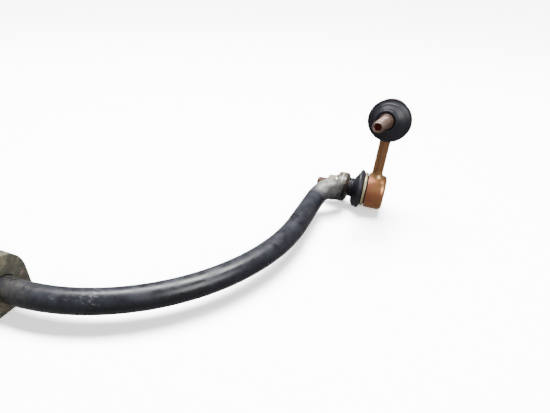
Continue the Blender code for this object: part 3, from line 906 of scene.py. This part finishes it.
def nut_piece(name, place, body, node):
    """Hexagon flange nut with chamfered corners."""
    bore = 0.0053
    flange = 0.0106
    low = COLLAR_FACE + 0.0110
    top = low + 0.0098
    chamfer_radius = 0.0077
    chamfer_slope = 1.7
    points = [
        (bore, low + 0.0005, 0.0002), (0.0060, low, 0.0002), (flange, low, 0.0004),
        (flange, low + 0.0011, 0.0006), (HEX_CORNER, low + 0.0022, 0),
        (HEX_CORNER, low + 0.0030, 0), (HEX_CORNER, low + 0.0055, 0),
        (HEX_CORNER, top - 0.0012, 0), (HEX_CORNER, top - 0.0006, 0),
        (HEX_CORNER, top - 0.0002, 0), (0.0074, top, 0), (0.0062, top, 0.0002),
        (bore, top - 0.0007, 0.0002),
    ]

    def shape(radius, height, turn):
        """A hexagon where the profile is at its corner radius, cut back by the chamfer."""
        if abs(radius - HEX_CORNER) < TINY:
            cone = chamfer_radius + (top - height) * chamfer_slope
            return min(hexagon(turn, HEX_CORNER), cone), height
        return radius, height

    verts, faces = revolve(softened(points, True), ROUND_SIDES, True, shape)
    piece = add_mesh(name, verts, faces, FINISH["nut_zinc"], place, angle=25.0)
    settle(piece, body, node)


def make_link(label, side):
    """One end link: two ball joints, the rod between them and the nut that holds it on."""
    lower = Vector(JOINTS[label + "_link_swing"]["pos_m"])
    upper = Vector(JOINTS[label + "_stud_spin"]["pos_m"])
    up = (upper - lower).normalized()
    forward = Vector(JOINTS[label + "_link_lean"]["axis"]) * side
    outward = forward.cross(up)
    turn = Matrix((outward, forward, up)).transposed().to_4x4()
    link_frame = Matrix.Translation(lower) @ turn
    upper_axis = Vector(JOINTS[label + "_stud_spin"]["axis"]) * side
    link = label + "_link"
    slimmer = HOUSING_RADIUS - 0.0007
    # Level, ball's centre, way the housing faces, way the stud points, the stud's body, the
    # housing's radius and how far the boot sags
    joints = (
        ("lower", lower, -side * outward, Vector((-side, 0, 0)), "bar", HOUSING_RADIUS, 1.0),
        ("upper", upper, -forward, upper_axis, label + "_upper_stud", slimmer, 0.0),
    )
    for level, centre, hold_axis, stud_axis, stud_body, outside, sag in joints:
        tag = label + "_" + level
        hold = along(hold_axis, centre)
        stud_place = along(stud_axis, centre)
        housing_piece(tag + "_cup", hold, link, tag + "_housing", outside)
        cap_piece(tag + "_closing_cap", hold, link, tag + "_end_cap")
        boot_ring_piece(tag + "_clamp_ring", hold, link, tag + "_boot_ring")
        stud_piece(tag + "_threaded_stud", stud_place, stud_body, tag + "_ball_stud")
        neck_ring_piece(tag + "_wire_ring", stud_place, tag + "_neck_ring", tag + "_neck_ring")
        boot_pieces(tag, hold, stud_place, link, tag + "_boot", sag)
        seat = frame["nodes"][tag + "_ball_seat"]
        seat.data.materials.clear()
        seat.data.materials.append(FINISH["seat_plastic"])
    rod_piece(label + "_rod", link_frame, (upper - lower).length, link, label + "_link_rod")
    nut_piece(label + "_flange_nut", along((-side, 0, 0), lower), "bar", label + "_stud_nut")


# Stage ---------------------------------------------------------------------------------


def make_stage():
    """Pale floor and backdrop with soft studio light; the floor has a light of its own."""
    bpy.ops.mesh.primitive_plane_add(size=40.0, location=(0, 0, 0))
    floor = bpy.context.object
    floor.name = "floor"
    floor.data.materials.append(paper("floor_paper", 1.0))
    bpy.ops.mesh.primitive_cylinder_add(radius=12.0, depth=24.0, end_fill_type="NOTHING")
    backdrop = bpy.context.object
    backdrop.name = "backdrop"
    backdrop.data.materials.append(paper("backdrop_paper", 7.5))
    for piece in (floor, backdrop):
        piece.visible_diffuse = False
        piece.visible_glossy = False
    backdrop.visible_shadow = False
    world = bpy.data.worlds.new("studio")
    bpy.context.scene.world = world
    world.use_nodes = True
    sky = world.node_tree.nodes["Background"]
    sky.inputs["Color"].default_value = (1.0, 1.0, 1.0, 1.0)
    sky.inputs["Strength"].default_value = 0.32
    add_softbox("key", (0.25, 0.26, 1.30), (0.25, 0.0, 0.0), (1.3, 0.26), 62.0)
    add_softbox("fill", (1.4, -0.6, 0.8), (0.4, 0.0, 0.0), (0.7, 0.7), 13.0)
    wash = bpy.data.lights.new("floor_wash", "SUN")
    wash.energy = 24.0
    wash.angle = radians(27.0)
    sun = add_light("floor_wash", wash, Vector((-0.04, 0.38, 1.0)))
    lit = bpy.data.collections.new("floor_only")
    lit.objects.link(floor)
    sun.light_linking.receiver_collection = lit


def paper(name, glow):
    """Matt pale paper that glows a little, so that it stays near white in the picture."""
    paint = Paint(name, 0.9, specular=0.1)
    colour = paint.mix(paint.noise(3.0), (0.93, 0.93, 0.93), (0.95, 0.95, 0.95))
    paint.feed(colour, paint.shader.inputs["Emission Color"])
    paint.shader.inputs["Emission Strength"].default_value = glow
    return paint.finish(colour)


def add_light(name, lamp, away):
    """A lamp whose back faces away, so that it shines the other way."""
    obj = bpy.data.objects.new(name, lamp)
    obj.rotation_euler = away.to_track_quat("Z", "Y").to_euler()
    bpy.context.scene.collection.objects.link(obj)
    return obj


def add_softbox(name, place, target, size, power):
    """Rectangular soft light at place, facing target."""
    lamp = bpy.data.lights.new(name, "AREA")
    lamp.shape = "RECTANGLE"
    lamp.size, lamp.size_y = size
    lamp.energy = power
    add_light(name, lamp, Vector(place) - Vector(target)).location = place


def make_camera():
    """Camera close over the right-hand end of the bar, turned and tipped as in the picture."""
    elevation = radians(31.0)
    azimuth = radians(20.3)
    roll = radians(0.9)
    data = bpy.data.cameras.new("camera")
    data.sensor_width = 36.0
    data.lens = 27.03
    data.clip_start = 0.01
    data.clip_end = 50.0
    camera = bpy.data.objects.new("camera", data)
    straight_end = Vector((STRAIGHT_HALF, AXIS_Y, AXIS_Z))
    camera.location = straight_end + Vector((0.2389, -0.1336, 0.194))
    turn = (
        Matrix.Rotation(azimuth, 3, "Z")
        @ Matrix.Rotation(pi / 2 - elevation, 3, "X")
        @ Matrix.Rotation(roll, 3, "Z")
    )
    camera.rotation_euler = turn.to_euler()
    bpy.context.scene.collection.objects.link(camera)
    bpy.context.scene.camera = camera


make_camera()
make_bar()
for label, side in SIDES.items():
    make_bushing(label)
    make_link(label, side)
make_stage()
